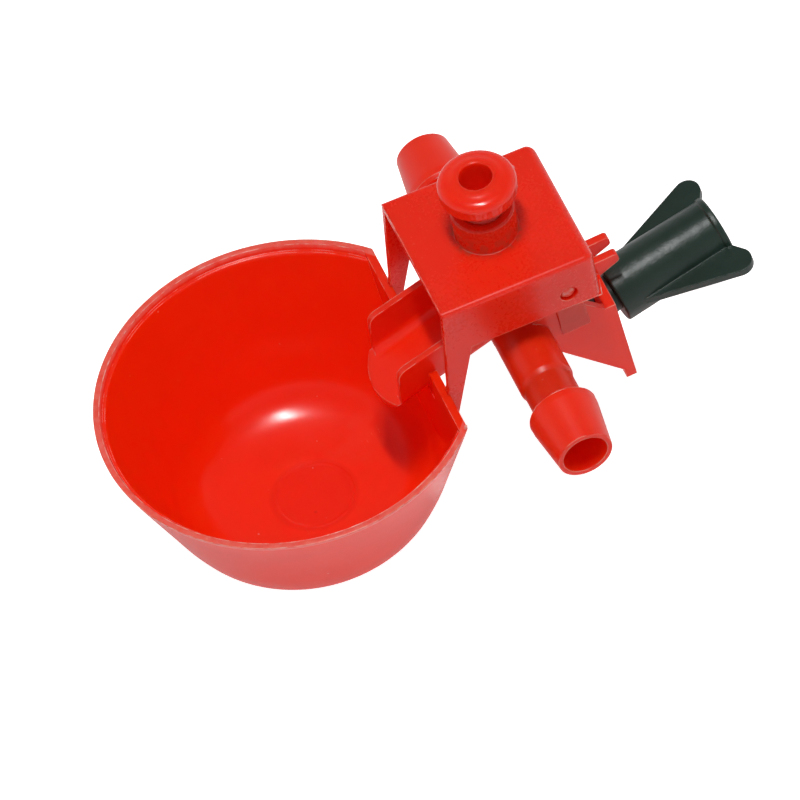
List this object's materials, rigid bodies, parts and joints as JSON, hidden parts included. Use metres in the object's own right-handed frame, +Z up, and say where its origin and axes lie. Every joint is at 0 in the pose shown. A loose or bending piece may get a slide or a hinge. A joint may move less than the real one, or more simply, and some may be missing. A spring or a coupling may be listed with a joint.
{
  "type": "poultry drinking cup",
  "caption": "Red plastic drinking cup for poultry with a rocking lid valve, hose barbs on both sides, an adjusting screw and a green wing screw behind.",
  "frame": {"origin": "middle of the water pipe, on its axis", "axes": "+X along the water pipe, +Y towards the cage that the rear plate is clamped to, +Z up"},
  "size_m": [0.089, 0.1398, 0.0772],
  "materials": {
    "red_plastic": "moulded, half gloss",
    "green_plastic": "moulded, half gloss",
    "black_rubber": "smooth rubber",
    "spring_steel": "drawn wire"
  },
  "bodies": {
    "valve": {"valve_body": "red_plastic", "return_spring": "spring_steel"},
    "cup": {"cup_and_lid": "red_plastic"},
    "seal": {"valve_seal": "black_rubber"},
    "screw": {"adjusting_screw": "red_plastic"},
    "wing": {"wing_screw": "green_plastic"}
  },
  "joints": [
    {"name": "cup_rock", "type": "hinge", "parent": "valve", "child": "cup", "pos_m": [0, 0.011, 0.015], "axis": [1, 0, 0], "range_deg": [0, 8], "stiffness_Nm_per_rad": 0.06, "springref_deg": -17.19, "deforming": ["return_spring"]},
    {"name": "screw_travel", "type": "slide", "parent": "cup", "child": "seal", "axis": [0, 0.0698, 0.9976], "range_m": [0, 0.00398]},
    {"name": "screw_turn", "type": "hinge", "parent": "seal", "child": "screw", "pos_m": [0, 0.00082, 0.01571], "axis": [0, 0.0698, 0.9976], "range_deg": [0, 950]},
    {"name": "wing_turn", "type": "hinge", "parent": "valve", "child": "wing", "pos_m": [0, 0.0191, -0.0129], "axis": [-0.1076, 0.9908, 0.0819], "range_deg": [0, 1440]}
  ],
  "couplings": [
    {"joint": "screw_travel", "follows": "screw_turn", "m_per_rad": 0.00023873}
  ]
}
